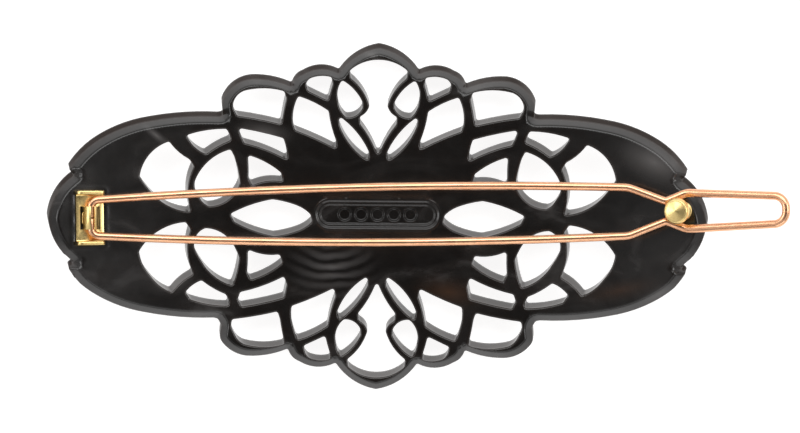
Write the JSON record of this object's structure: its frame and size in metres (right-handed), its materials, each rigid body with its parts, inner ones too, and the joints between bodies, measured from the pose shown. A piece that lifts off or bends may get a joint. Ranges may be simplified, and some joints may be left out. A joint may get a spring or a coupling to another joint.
{
  "type": "barrette",
  "caption": "Openwork oval hair barrette with an arched plate and a hinged wire loop that snaps around a ball stud.",
  "frame": {"origin": "lowest point of the domed front face, under the middle of the plate", "axes": "+X along the plate from the hinge to the ball stud, +Y across it, +Z out of the hollow back towards the head"},
  "size_m": [0.1127, 0.0528, 0.0175],
  "materials": {
    "acetate": "polished, faintly marbled",
    "yellow_metal": "polished plating",
    "spring_metal": "satin",
    "rose_wire": "polished plating"
  },
  "bodies": {
    "plate": {"openwork_plate": "acetate", "hinge_plate": "yellow_metal", "hinge_leaf_spring": "spring_metal", "ball_stud": "yellow_metal"},
    "wire": {"clasp_wire": "rose_wire"}
  },
  "joints": [
    {"name": "clasp_hinge", "type": "hinge", "parent": "plate", "child": "wire", "pos_m": [-0.04338, -0.00069, 0.01038], "axis": [0.0206, -0.9998, 0], "range_deg": [0, 85]}
  ]
}
